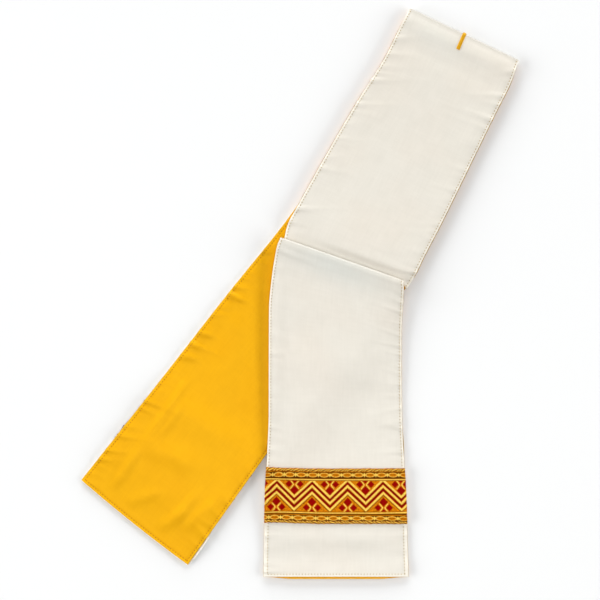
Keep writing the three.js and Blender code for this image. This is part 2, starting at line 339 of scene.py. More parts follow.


# Main creases: middle x, y, heading, length, width, height.
UPPER_CREASES = (
    Crease(128.0, 190.0, -25.0, 130.0, 5.0, -0.45),
    Crease(150.0, 165.0, -20.0, 60.0, 6.0, 0.35),
    Crease(60.0, 150.0, 38.0, 60.0, 6.0, 0.35),
    Crease(140.0, 130.0, 66.0, 70.0, 7.0, 0.3),
    Crease(95.0, 110.0, 30.0, 80.0, 9.0, 0.3),
    Crease(30.0, 90.0, 20.0, 50.0, 5.0, -0.3),
    Crease(131.5, 205.0, -25.5, 128.0, 4.5, 0.65),
    Crease(52.0, 45.0, -18.0, 110.0, 15.0, 0.8),
    Crease(54.0, 30.5, -18.5, 100.0, 4.6, 1.2),
)
LOWER_CREASES = (
    Crease(-21.0, -45.0, 88.0, 190.0, 7.0, 1.5),
    Crease(6.0, -12.0, -6.0, 60.0, 9.0, 0.3),
    Crease(34.0, -58.0, 3.0, 170.0, 15.0, 0.6),
    Crease(62.0, -72.0, -9.0, 70.0, 8.0, 0.3),
    Crease(-6.0, -96.0, 6.0, 60.0, 8.0, 0.3),
    Crease(70.0, -104.0, -4.0, 60.0, 7.0, 0.3),
    Crease(36.0, -150.0, 0.0, 220.0, 14.0, 0.5),
    Crease(20.0, -205.0, 1.5, 150.0, 9.0, 0.75),
    Crease(60.0, -209.0, -3.0, 80.0, 7.0, 0.3),
    Crease(32.0, -239.0, 0.0, 260.0, 11.0, 1.3),
)
BACK_CREASES = (
    Crease(-111.5, -98.0, 55.4, 84.0, 2.6, 1.5),
    Crease(-109.5, -108.0, 53.0, 56.0, 2.5, 1.2),
    Crease(-146.0, -147.0, 56.0, 52.0, 2.8, 1.3),
    Crease(-131.0, -171.0, 18.0, 40.0, 5.0, 0.9),
    Crease(-107.0, -189.0, 40.0, 36.0, 4.0, 1.1),
    Crease(-97.0, -181.0, 53.5, 46.0, 3.0, 1.1),
    Crease(-85.5, -186.0, 44.0, 44.0, 3.0, 1.1),
    Crease(-77.0, -184.0, 57.0, 50.0, 4.0, 0.8),
    Crease(-110.0, -136.0, -24.0, 74.0, 9.0, 1.2),
    Crease(-78.0, -111.0, -33.0, 84.0, 10.0, 1.0),
    Crease(-62.0, -60.0, 75.0, 90.0, 12.0, 0.9),
    Crease(-64.0, -22.0, -30.0, 50.0, 9.0, 0.9),
    Crease(-38.0, -62.0, 91.0, 280.0, 7.5, 0.9),
    Crease(-55.0, -2.0, -24.0, 24.0, 2.3, 1.1),
    Crease(-65.5, -11.0, -20.0, 20.0, 2.3, 0.9),
    Crease(-82.0, -32.5, -18.0, 24.0, 2.5, 1.1),
    Crease(-90.0, -43.0, -22.0, 16.0, 2.2, 0.8),
    Crease(-95.0, -52.5, -16.0, 24.0, 2.5, 1.2),
)


@dataclass
class Puckers:
    """Small gathers square to a stitched edge, uneven in place and depth.

    Along the edge each is a bell curve, and away from it it fades over its own
    reach. Places, depths, widths and reaches are drawn once from a seed.
    """

    seed: int
    pitch: float
    depth: float
    reach: float
    lean: float = 0.0

    def lift(self, run: Array, off: Array, length: float) -> Array:
        """Height of the gathers.

        Args:
            run: distances along the edge.
            off: distances in from the edge.
            length: length of the edge.

        Returns:
            Heights, len(run) by len(off).
        """
        rng = np.random.default_rng(self.seed)
        count = int(length / self.pitch) + 2
        place = (np.arange(count) + rng.uniform(-0.35, 0.35, count)) * self.pitch
        depth = self.depth * rng.uniform(0.25, 1.0, count) * rng.choice([1.0, 0.8, 0.5], count)
        width = self.pitch * rng.uniform(0.16, 0.28, count)
        reach = self.reach * rng.uniform(0.5, 1.5, count)
        lean = self.lean + rng.uniform(-0.3, 0.3, count)
        total = np.zeros((len(run), len(off)))
        for k in range(count):
            along = bell(run[:, None] - place[k] - lean[k] * off[None, :], width[k])
            total += depth[k] * along * np.exp(-off[None, :] / reach[k])
        return total


# Gathers on edge a and edge b: seed, pitch, depth, reach and lean.
BACK_PUCKERS = (Puckers(11, 8.7, 2.0, 8.5, 0.45), Puckers(12, 10.0, 1.5, 7.0))
UPPER_PUCKERS = (Puckers(21, 10.0, 1.9, 10.0, -0.4), Puckers(22, 10.0, 1.9, 10.0, 0.3))
LOWER_PUCKERS = (Puckers(31, 10.0, 1.4, 9.0), Puckers(32, 10.0, 1.05, 9.0))


def gathers(
    pair: tuple[Puckers, Puckers], run: Array, across: Array, length: float
) -> Array:
    """Height of the gathers on both edges of a stretch.

    Args:
        pair: the gathers of edge a and of edge b.
        run: distances along the stretch.
        across: shares across the band.
        length: length of the stretch.

    Returns:
        Heights, len(run) by len(across).
    """
    side_a, side_b = pair
    height = side_a.lift(run, across * NOMINAL_WIDTH, length)
    return height + side_b.lift(run, (1 - across) * NOMINAL_WIDTH, length)


def edge_places(inner_steps: int) -> Array:
    """Shares across the band: fine by both seams and wider in the middle."""
    near = np.array([*SEAM_PLACES, 3.6, 4.8, 6.3, 8.4, 11.0])
    inner = np.linspace(near[-1], NOMINAL_WIDTH - near[-1], inner_steps)[1:-1]
    places = np.concatenate([near, inner, NOMINAL_WIDTH - near[::-1]])
    return places / NOMINAL_WIDTH


@dataclass
class Surface:
    """A grid of points with the way out on the face side and its distances."""

    points: Array
    run: Array
    across: Array
    fold: Array | None = None
    normals: Array = field(init=False)

    def __post_init__(self) -> None:
        """Normals: along times across, from central differences."""
        along = np.gradient(self.points, axis=0)
        across = np.gradient(self.points, axis=1)
        self.normals = unit(np.cross(along, across))

    def insets(self) -> tuple[Array, Array]:
        """Distances in from the nearest side, as a row, and end, as a column."""
        to_side = np.minimum(self.across, 1 - self.across)[None, :] * NOMINAL_WIDTH
        to_end = np.minimum(self.run, self.run[-1] - self.run)[:, None]
        return to_side, to_end

    def inset(self) -> Array:
        """Distance in from the nearest side or end."""
        return np.minimum(*self.insets())

    def moved(self, offset: Array | float) -> Array:
        """Points moved out by an offset that may change over the grid."""
        off = np.broadcast_to(np.asarray(offset, dtype=float), self.points.shape[:2])
        return self.points + self.normals * off[..., None]


@dataclass
class Band:
    """The middle surface of the whole band, from the lower end to the hem."""

    step: float = 1.45
    hidden_step: float = 3.2
    inner_steps: int = 34
    nose_steps: int = 16
    back: Stretch = field(init=False)
    upper: Stretch = field(init=False)
    lower: Stretch = field(init=False)
    footprint: Array = field(init=False)
    middle_fold: FoldLine = field(init=False)
    inner_fold: FoldLine = field(init=False)
    outer_fold: FoldLine = field(init=False)
    shift: Array = field(init=False)

    def __post_init__(self) -> None:
        """Make the three stretches and the outline that the top half lies on."""
        self.middle_fold = FoldLine.inside(UPPER_ROWS[0], 1.0)
        self.inner_fold = FoldLine.inside(UPPER_ROWS[-1], -1.0)
        self.outer_fold = FoldLine.inside(LOWER_ROWS[0], 1.0)
        middle = self.middle_fold.row(0.0)
        self.back = Stretch(np.array([*BACK_ROWS[:-1], middle]))
        inner = self.inner_fold.row(0.0)
        self.upper = Stretch(np.array([middle, *UPPER_ROWS[1:-1], inner]))
        outer = self.outer_fold.row(LOWER_ROWS[0][4])
        self.lower = Stretch(np.array([outer, *LOWER_ROWS[1:]]))
        run = np.linspace(0, self.back.length, 60)
        x, y, _ = self.back.plan(run, np.array([0.0, 1.0]))
        edge_a = np.column_stack([x[:, 0], y[:, 0]])
        edge_b = np.column_stack([x[:, 1], y[:, 1]])[::-1]
        self.footprint = np.vstack([edge_a, edge_b])
        low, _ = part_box("face")
        self.shift = np.array([low.x / MM - BACK_ROWS[0][0], low.y / MM - LOWER_ROWS[-1][1], 0.0])

    def outside(self, x: Array, y: Array) -> Array:
        """Distance of plan places outside the lower half, 0 on it.

        The least distance to any side of its outline, and a count of the
        sides crossed by a ray says which places are inside.
        """
        px, py = x.ravel(), y.ravel()
        nearest = np.full(px.shape, np.inf)
        inside = np.zeros(px.shape, dtype=bool)
        ends = np.roll(self.footprint, -1, axis=0)
        for (ax, ay), (bx, by) in zip(self.footprint, ends):
            dx, dy = bx - ax, by - ay
            t = np.clip(((px - ax) * dx + (py - ay) * dy) / (dx * dx + dy * dy), 0, 1)
            nearest = np.minimum(nearest, np.hypot(px - ax - dx * t, py - ay - dy * t))
            if dy != 0:
                crosses = ((ay > py) != (by > py)) & (px < ax + dx * (py - ay) / dy)
                inside ^= crosses
        return np.where(inside, 0.0, nearest).reshape(x.shape)

    def draped(self, x: Array, y: Array) -> Array:
        """Middle height of one layer: on the floor or on the lower half."""
        off = (self.outside(x, y) - DRAPE_SHELF) / DRAPE_RAMP
        return HALF_BAND + LAYER_PITCH * (1 - smooth(off))

    def back_height(self, run: Array) -> Array:
        """Height of the lower half, raised where its galloon lies beneath."""
        rise = smooth((run - GALLOON_TO_HEM + LIFT_EASE) / LIFT_EASE)
        fall = smooth((run - GALLOON_TO_HEM - GALLOON_WIDTH) / LIFT_EASE)
        return HALF_BAND + GALLOON_LIFT * (rise - fall)

    def showing(self, x: Array, y: Array) -> Array:
        """Share of the lower half's relief: 1 in the open, 0 under the top half.

        An ease over the distance left of the top half's edge a, whose x is
        read off its rows at the same y.
        """
        rows = np.array([*UPPER_ROWS[:-1], *LOWER_ROWS])
        rows = rows[np.argsort(rows[:, 1])]
        cover = np.interp(y, rows[:, 1], rows[:, 0])
        return smooth((cover - x) / COVER_EASE)

    def back_surface(self, run: Array, across: Array) -> Array:
        """The lower half with its creases and gathers, lining up."""
        x, y, _ = self.back.plan(run, across)
        fade = 1 - smooth(run / END_BOW_EASE)
        bow = END_BOW * fade[:, None] * (4 * across * (1 - across))[None, :]
        x = x - bow * math.cos(END_HEADING)
        y = y - bow * math.sin(END_HEADING)
        z = np.repeat(self.back_height(run)[:, None], len(across), axis=1)
        relief = sum(c.lift(x, y) for c in BACK_CREASES)
        relief = relief + gathers(BACK_PUCKERS, run, across, self.back.length)
        z = z + np.maximum(relief * self.showing(x, y), 0.0)
        return np.stack([x, y, z], axis=2)

    def upper_surface(self, run: Array, across: Array) -> Array:
        """The top half above the tuck, with its creases and gathers."""
        x, y, lift = self.upper.plan(run, across)
        relief = sum(c.lift(x, y) for c in UPPER_CREASES)
        relief = relief + gathers(UPPER_PUCKERS, run, across, self.upper.length)
        ends = smooth((run - 3.0) / 8.0) * smooth((self.upper.length - 4.0 - run) / 14.0)
        z = self.draped(x, y) + lift + (relief + 0.1) * ends[:, None]
        return np.stack([x, y, z], axis=2)

    def lower_surface(self, run: Array, across: Array) -> Array:
        """The top half below the tuck, with its creases and gathers."""
        x, y, lift = self.lower.plan(run, across)
        relief = sum(c.lift(x, y) for c in LOWER_CREASES)
        relief = relief + gathers(LOWER_PUCKERS, run, across, self.lower.length)
        start = smooth(run / 10.0)[:, None]
        z = self.draped(x, y) + lift + np.maximum(relief + 0.15, 0.0) * start
        return np.stack([x, y, z], axis=2)

    def nose(self, line: FoldLine, under: Array, across: Array) -> Array:
        """A folded edge: half of a pressed circle about the fold line.

        With p as 2 over the nose power, reach is the radius times the sine of
        the turn to the power p, and height the radius times one less its
        cosine to the power p with the cosine's sign, over the layer beneath.
        """
        angle = np.linspace(0, math.pi, self.nose_steps + 1)[1:-1, None]
        x, y = line.at(across[None, :])
        power = 2.0 / NOSE_POWER
        cosine = np.cos(angle)
        reach = FOLD_RADIUS * np.sin(angle) ** power
        rise = FOLD_RADIUS * (1 - np.sign(cosine) * np.abs(cosine) ** power)
        ones = np.ones_like(reach)
        return np.stack([x + line.nx * reach, y + line.ny * reach, under * ones + rise], axis=2)

    def surface(self) -> Surface:
        """The whole middle surface, row by row from the lower end."""
        v = edge_places(self.inner_steps)
        hem = np.array([*SEAM_PLACES, 3.8, 5.2])
        back, upper, lower = self.back.length, self.upper.length, self.lower.length
        in_view = np.arange(6.6, OPEN_END, self.step)
        hidden = np.arange(OPEN_END, back - 1, self.hidden_step)
        runs = [
            np.concatenate([hem, in_view, hidden, [back]]),
            np.linspace(0, upper, int(upper / self.step)),
            np.concatenate([np.arange(0, lower - 6.2, self.step), lower - hem[::-1]]),
        ]
        fold_x, fold_y = self.inner_fold.at(v)
        out_x, out_y = self.outer_fold.at(v)
        t = np.array([0.0, 0.5, 1.0])[:, None]
        tuck_x = fold_x + (out_x - fold_x) * t
        tuck_y = fold_y + (out_y - fold_y) * t
        tuck_z = self.draped(tuck_x, tuck_y) + LAYER_PITCH + TUCK_RISE * t
        tuck = np.stack([tuck_x, tuck_y, tuck_z], axis=2)
        over = self.draped(out_x[None, :], out_y[None, :]) + LAYER_PITCH + TUCK_RISE
        parts = [
            self.back_surface(runs[0], v),
            self.nose(self.middle_fold, np.full((1, len(v)), HALF_BAND), v),
            self.upper_surface(runs[1], v),
            self.nose(self.inner_fold, self.draped(fold_x[None, :], fold_y[None, :]), v),
            tuck,
            self.nose(self.outer_fold, over, v),
            self.lower_surface(runs[2], v),
        ]
        share = [np.full(len(part), k % 2) for k, part in enumerate(parts)]
        fold = self.eased(np.concatenate(share))
        points = np.concatenate(parts) + self.shift
        return Surface(points, distances(points[:, len(v) // 2]), v, fold)

    @staticmethod
    def eased(share: Array) -> Array:
        """Shares with their steps eased over the rows beside them."""
        kernel = np.array([0.1, 0.2, 0.4, 0.2, 0.1])
        return np.convolve(np.pad(share, 2, mode="edge"), kernel, mode="valid")


def shell(name: str, outer: Array, inner: Array, uv: Array) -> Piece:
    """A closed shell between two grids of points.

    Args:
        name: name of the object.
        outer: rows by columns by 3, on the side the way out points to.
        inner: the same on the other side.
        uv: rows by columns by 2, in metres, for both sides.

    Returns:
        The new object, linked to the scene.
    """
    rows, cols = outer.shape[:2]
    size = rows * cols
    ids = np.arange(size).reshape(rows, cols)
    a, b = ids[:-1, :-1].ravel(), ids[1:, :-1].ravel()
    c, d = ids[1:, 1:].ravel(), ids[:-1, 1:].ravel()
    top = np.column_stack([a, b, c, d])
    under = np.column_stack([a, d, c, b]) + size
    left, right = ids[:, 0], ids[:, -1]
    first, last = ids[0], ids[-1]
    sides = [
        np.column_stack([left[:-1] + size, left[1:] + size, left[1:], left[:-1]]),
        np.column_stack([right[:-1], right[1:], right[1:] + size, right[:-1] + size]),
        np.column_stack([first[:-1], first[1:], first[1:] + size, first[:-1] + size]),
        np.column_stack([last[:-1] + size, last[1:] + size, last[1:], last[:-1]]),
    ]
    faces = np.vstack([top, under, *sides])
    points = np.vstack([outer.reshape(-1, 3), inner.reshape(-1, 3)]) * MM
    return mesh_object(name, points, faces, np.vstack([uv.reshape(-1, 2)] * 2))


def mesh_object(
    name: str, points: Array, faces: Array, uv: Array | None = None
) -> Piece:
    """A smooth mesh of four-sided faces from arrays.

    Args:
        name: name of the object.
        points: corners in metres.
        faces: four corner numbers a face.
        uv: a UV place a corner, or None.

    Returns:
        The new object, linked to the scene.
    """
    mesh = bpy.data.meshes.new(name)
    mesh.vertices.add(len(points))
    mesh.vertices.foreach_set("co", points.astype(np.float32).ravel())
    mesh.loops.add(faces.size)
    mesh.loops.foreach_set("vertex_index", faces.astype(np.int32).ravel())
    mesh.polygons.add(len(faces))
    starts = np.arange(len(faces), dtype=np.int32) * 4
    mesh.polygons.foreach_set("loop_start", starts)
    mesh.polygons.foreach_set("use_smooth", np.ones(len(faces), dtype=bool))
    if uv is not None:
        layer = mesh.uv_layers.new(name="cloth")
        layer.data.foreach_set("uv", uv[faces.ravel()].astype(np.float32).ravel())
    mesh.update(calc_edges=True)
    mesh.validate()
    piece = bpy.data.objects.new(name, mesh)
    bpy.context.scene.collection.objects.link(piece)
    return piece


def add_mask(piece: Piece, name: str, values: Array) -> None:
    """Store a grid of numbers as a named attribute on both sides of a shell."""
    layer = piece.data.attributes.new(name, "FLOAT", "POINT")
    layer.data.foreach_set("value", np.tile(values.astype(np.float32).ravel(), 2))


def settle(piece: Piece, node: str | None = None) -> Piece:
    """Put a piece on the one body and hide the part that it stands for."""
    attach(piece, "root")
    if node is not None:
        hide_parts(node)
    return piece


def tubes(
    name: str, start: Array, end: Array, up: Array, radius: float
) -> Piece:
    """Many short sunk threads as one mesh.

    Each is a ring of six points carried along its line, full in the middle
    and drawn in at both ends, where it dips into the cloth.

    Args:
        name: name of the object.
        start: one start a thread, in millimetres.
        end: one end a thread.
        up: the way out of the cloth at each thread.
        radius: thread radius.

    Returns:
        The joined object.
    """
    share = np.array([0.0, 0.14, 0.5, 0.86, 1.0])
    full = np.array([0.35, 0.9, 1.0, 0.9, 0.35])
    dip = np.array([-1.3, -0.1, 0.35, -0.1, -1.3]) * radius
    turn = np.arange(6) * math.pi / 3
    side = unit(np.cross(unit(end - start), up))
    line = start[:, None] + (end - start)[:, None] * share[None, :, None]
    line = line + up[:, None] * dip[None, :, None]
    ring = side[:, None] * np.cos(turn)[None, :, None] + up[:, None] * np.sin(turn)[None, :, None]
    points = line[:, :, None] + ring[:, None] * (radius * full)[None, :, None, None]
    count = len(start)
    block = len(share) * 6
    i, k = np.meshgrid(np.arange(len(share) - 1), np.arange(6), indexing="ij")
    here, following = i * 6 + k, i * 6 + (k + 1) % 6
    body = np.stack([here, here + 6, following + 6, following], axis=2).reshape(-1, 4)
    last = (len(share) - 1) * 6
    caps = np.array([[0, 1, 2, 3], [0, 3, 4, 5], [3, 2, 1, 0], [5, 4, 3, 0]])
    caps[2:] += last
    one = np.vstack([body, caps])
    faces = (one[None] + (np.arange(count) * block)[:, None, None]).reshape(-1, 4)
    return mesh_object(name, points.reshape(-1, 3) * MM, faces)


@dataclass(frozen=True)
class Peek:
    """A length of edge where one cloth rolls out past the other.

    The edge moves out by the amount, eased in and out along the edge, and
    the move fades within the first millimetres.
    """

    edge: Edge
    start: float
    stop: float
    amount: float
    ease: float = 14.0

    def apply(self, grids: tuple[Array, Array], surface: Surface) -> None:
        """Move the edge of both sides of a shell.

        Args:
            grids: outer and inner points, changed in place.
            surface: the middle surface that they come from.
        """
        along_end = self.edge in (Edge.HEM, Edge.END)
        last = self.edge in (Edge.HEM, Edge.B)
        for grid in grids:
            turned = grid.transpose(1, 0, 2) if along_end else grid
            rim, inward = (-1, -4) if last else (0, 3)
            way = unit(turned[:, rim] - turned[:, inward])
            if along_end:
                place = surface.across * NOMINAL_WIDTH
                off = surface.run[-1] - surface.run if last else surface.run
            else:
                share = 1 - surface.across if last else surface.across
                place, off = surface.run, share * NOMINAL_WIDTH
            along = smooth((place - self.start) / self.ease)
            along = along * smooth((self.stop - place) / self.ease)
            fade = np.clip(1 - off / PEEK_FADE, 0, 1) ** 1.5
            turned += way[:, None] * (self.amount * along[:, None] * fade[None, :])[..., None]


@dataclass
class Panel:
    """One side of the band as a closed shell, with its rounded seam edge.

    Where its outer side reaches the surface the band lies on, it is flat.
    """

    name: str
    node: str
    slot: str
    side: Side
    groove: float
    peeks: tuple[Peek, ...] = ()

    def thickness(self, surface: Surface) -> Array:
        """Distance of the outer side from the middle surface.

        It eases thinner towards the edge, rounds to the seam there as a
        quarter circle, and sinks a little under the stitches.
        """
        off = surface.inset()
        near = np.clip(off / SEAM_ROUND, 0, 1)
        lip = np.sqrt(np.clip(1 - (1 - near) ** 2, 0, 1))
        to_side, to_end = surface.insets()
        full = END_FULL + (1 - END_FULL) * smooth(to_end / SEAM_EASE)
        thin = SEAM_THIN + (1 - SEAM_THIN) * np.minimum(smooth(to_side / SEAM_EASE), full)
        groove = self.groove * bell(off - stitch_inset(surface.run)[:, None], GROOVE_WIDTH)
        fold_thinning_and_painted_shade = 1 - (1 - NOSE_THIN) * surface.fold[:, None]
        return SEAM_GAP / 2 + (WALL * lip * thin - groove * near) * fold_thinning_and_painted_shade

    def build(self, surface: Surface) -> Piece:
        """Make the shell.

        Args:
            surface: the band's middle surface.

        Returns:
            The panel's object.
        """
        sign = self.side.value
        outer = surface.moved(self.thickness(surface) * sign)
        inner = surface.moved(SEAM_GAP / 2 * sign * 0.9)
        for peek in self.peeks:
            peek.apply((outer, inner), surface)
        outer[:, :, 2] = np.maximum(outer[:, :, 2], 0.0)
        uv = np.stack(np.meshgrid(surface.across * NOMINAL_WIDTH, surface.run), axis=2) * MM
        walls = (outer, inner) if self.side is Side.FACE else (inner, outer)
        piece = shell(self.name, *walls, uv)
        # Masks of the edge strip and of painted shade on the folds, the rims and the slopes by the
        # folds.
        masks = {"edge_strip_and_painted_light": self.edge_strip_and_painted_light, "fold": self.fold_thinning_and_painted_shade, "rim": self.rim, "painted_cool_shade": self.painted_cool_shade}
        for mask, values in masks.items():
            add_mask(piece, mask, values(surface))
        return settle(piece, self.node)

    def fold_thinning_and_painted_shade(self, surface: Surface) -> Array:
        """Mask of a painted shade: 1 on the middle fold and less on the fold over the tuck."""
        top = bell(surface.run - TOP_FOLD_RUN, 8.0) + 0.7 * bell(surface.run - FOLD_B_RUN, 6.0)
        return np.repeat((top * surface.fold)[:, None], len(surface.across), axis=1)

    def rim(self, surface: Surface) -> Array:
        """Mask of the painted edge shade: 1 along the edges of the side that faces down, less
        elsewhere.
        """
        to_side, _ = surface.insets()
        down = smooth((surface.run - TOP_FOLD_RUN) / 4.0)
        share = down if self.side is Side.LINING else 1 - down
        sides = (OPEN_EDGE_SHADE + (1 - OPEN_EDGE_SHADE) * share)[:, None] * smooth((0.95 - to_side) / 0.5)
        after, before = surface.run - TUCK_RUNS[0], TUCK_RUNS[1] - surface.run
        tuck = smooth(after / 6.0) * smooth(before / 6.0)
        corner = TUCK_EDGE_SHADE * tuck[:, None] * share[:, None] * smooth((7.0 - to_side) / 3.0)
        sides = np.maximum(sides, corner)
        hem = HEM_EDGE_SHADE * smooth((2.4 - (surface.run[-1] - surface.run)) / 0.8)[:, None]
        return np.maximum(sides, hem if self.side is Side.LINING else 0.0)

    def painted_cool_shade(self, surface: Surface) -> Array:
        """Mask of a painted cool shade by the folds: 1 below the fold over the tuck, 0.3 past the
        middle fold.
        """
        below = bell(surface.run - FOLD_B_RUN - 13.0, 13.0)[:, None]
        below = below * bell(surface.across - 0.42, 0.42)[None, :]
        top = bell(surface.run - TOP_FOLD_RUN - 14.0, 12.0)[:, None]
        return below + 0.3 * top * bell(surface.across - 0.3, 0.3)[None, :]

    def edge_strip_and_painted_light(self, surface: Surface) -> Array:
        """1 on the strip outside the stitching, where the seam is inside; its colour is lighter,
        partly for the doubled cloth and partly as painted light.
        """
        return smooth((stitch_inset(surface.run)[:, None] + 0.3 - surface.inset()) / 0.6)


def stitch_lines(surface: Surface, panel: Panel, name: str) -> Piece:
    """Topstitching round the band on one side.

    Args:
        surface: the band's middle surface.
        panel: the panel that the stitches lie on.
        name: name of the object.

    Returns:
        The joined stitches.
    """
    column = int(np.argmin(np.abs(surface.across * NOMINAL_WIDTH - STITCH_IN)))
    sign = panel.side.value
    lifted = surface.moved(sign * (panel.thickness(surface) + STITCH_LIFT))
    lifted[:, :, 2] = np.maximum(lifted[:, :, 2], STITCH_RADIUS)
    inset = stitch_inset(surface.run) / NOMINAL_WIDTH
    before = np.clip(np.searchsorted(surface.across, inset) - 1, 0, len(surface.across) // 2)
    part = (inset - surface.across[before]) / (surface.across[before + 1] - surface.across[before])
    every = np.arange(len(surface.run))
    total = surface.run[-1]
    starts, ends, ups = [], [], []

    def run_stitches(path: Array, ways: Array, first: float, stop: float) -> None:
        """Lay stitches at equal distances along a line of points."""
        place = distances(path)
        begin = np.arange(place[0] + first, place[-1] - stop, STITCH_PITCH)
        for at, out in ((begin, starts), (begin + STITCH_LENGTH, ends)):
            out.append(np.column_stack([np.interp(at, place, path[:, k]) for k in range(3)]))
        mid = begin + STITCH_LENGTH / 2
        ups.append(np.column_stack([np.interp(mid, place, ways[:, k]) for k in range(3)]) * sign)

    for grid in (lifted, lifted[:, ::-1]):
        ways = surface.normals if grid is lifted else surface.normals[:, ::-1]
        path = grid[every, before] * (1 - part[:, None]) + grid[every, before + 1] * part[:, None]
        run_stitches(path, ways[every, before], STITCH_IN, STITCH_IN)
    for want in (STITCH_IN, total - STITCH_IN):
        row = int(np.argmin(np.abs(surface.run - want)))
        path = lifted[row, column : len(surface.across) - column]
        ways = surface.normals[row, column : len(surface.across) - column]
        run_stitches(path, ways, 0.6, 0.6)
    up = unit(np.vstack(ups))
    piece = tubes(name, np.vstack(starts), np.vstack(ends), up, STITCH_RADIUS)
    return settle(piece)


# The galloon's chart, in millimetres of a braid of this width.
CHART_WIDTH = 46.0
ZIGZAG_FROM = 9.9  # its ground starts this far in from each border
ABOVE_ZIGZAG = 8.0
BELOW_ZIGZAG = 23.0
SIDE_LOZENGES = (13.0, 13.5)  # their depth in the upper and the lower turns
LINE = (8.7, 9.5)  # light line inside the chain
LINE_SHADES = ((7.6, 8.5, 1.0), (9.6, 10.2, 0.7))
LINK = 9.71  # one oval and knot of the chain
LINK_STARTS = (5.96, 3.86)  # of the upper and the lower chain
LINK_DEPTHS = (5.3, 4.7)
OVAL = (4.15, 1.85)  # half its length and half its depth
TWIST = 2.9  # one strand of the cord
CORD_MIDDLE = 1.3
CORD_RADIUS = 1.35

# Stripes of the zigzag by the distance below its upper line: from, to, share.
LIGHT_STRIPES = ((8.2, 10.4, 1.0), (13.4, 15.6, 1.0), (19.1, 21.3, 1.0))
RED_STRIPES = ((10.8, 13.3, 1.0), (16.3, 18.9, 1.0))
DEEP_STRIPES = ((11.2, 11.9, 1.0), (16.7, 17.4, 1.0))
SHADE_STRIPES = ((10.4, 11.1, 0.2), (15.6, 16.6, 0.3), (21.4, 22.6, 0.6))


@dataclass(frozen=True)
class Lozenge:
    """A lozenge by its middle, half sizes and soft side.

    Where it has no depth of its own, the side lozenges' depth is taken.
    """

    off: float
    depth: float | None
    half_width: float
    half_depth: float
    soft: float


# One on the turn's middle line, one beside it and a small one by the border.
LOZENGES = (
    Lozenge(0.0, 18.2, 3.7, 3.9, 0.14),
    Lozenge(4.8, None, 3.0, 3.0, 0.16),
    Lozenge(0.0, 10.0, 2.3, 2.5, 0.16),
)


def stripe(x: Array, low: float, high: float, side: float = 0.32) -> Array:
    """1 between two values with soft sides."""
    return smooth((x - low) / side + 0.5) * smooth((high - x) / side + 0.5)


def stripes(x: Array, table: tuple[tuple[float, float, float], ...]) -> Array:
    """Sum of the stripes of a table, each times its share."""
    return sum(share * stripe(x, low, high) for low, high, share in table)


